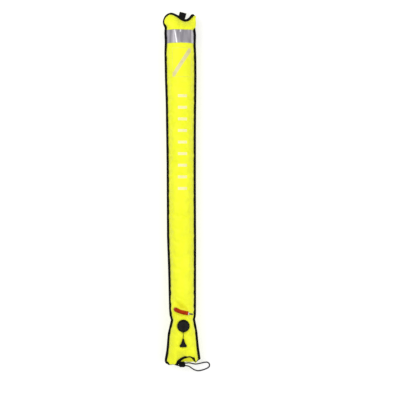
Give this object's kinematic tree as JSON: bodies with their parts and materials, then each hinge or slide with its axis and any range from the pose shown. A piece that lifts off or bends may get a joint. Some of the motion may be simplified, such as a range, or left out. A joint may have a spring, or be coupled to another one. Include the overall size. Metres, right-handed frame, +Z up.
{
  "type": "surface marker buoy",
  "caption": "Long inflated diver's marker buoy of fluorescent coated fabric with bound seams, relief valve, oral inflator, reflective band and bungee loop, lying on its back.",
  "frame": {"origin": "on the floor, under the middle of the buoy's length and width", "axes": "+Y along the tube to its top end, +X to the right seen from the front, +Z up out of the front panel"},
  "size_m": [0.19, 1.4418, 0.1187],
  "materials": {
    "panel_fabric": "coated fluorescent nylon",
    "binding_tape": "woven binding tape",
    "reflective_tape": "retroreflective tape",
    "webbing": "woven webbing",
    "valve_plastic": "moulded plastic",
    "pull_plastic": "moulded plastic",
    "pull_line": "braided line",
    "weld_collar": "moulded urethane",
    "red_tube": "moulded rubber",
    "nipple_steel": "turned steel",
    "bungee_cover": "braided sheath",
    "lock_plastic": "moulded plastic"
  },
  "bodies": {
    "root": {"back_panel": "panel_fabric", "binding_bottom": "binding_tape", "binding_left": "binding_tape", "binding_right": "binding_tape", "binding_top": "binding_tape", "bungee": "bungee_cover", "bungee_anchor": "webbing", "front_panel": "panel_fabric", "inflator_collar": "weld_collar", "inflator_nipple": "nipple_steel", "inflator_tube": "red_tube", "lock_body": "lock_plastic", "lock_button": "lock_plastic", "pull_cord": "pull_line", "pull_knob": "pull_plastic", "reflective_band_back": "reflective_tape", "reflective_band_front": "reflective_tape", "top_loop": "webbing", "valve_base": "valve_plastic", "valve_cap": "valve_plastic", "valve_poppet": "valve_plastic"}
  },
  "joints": []
}
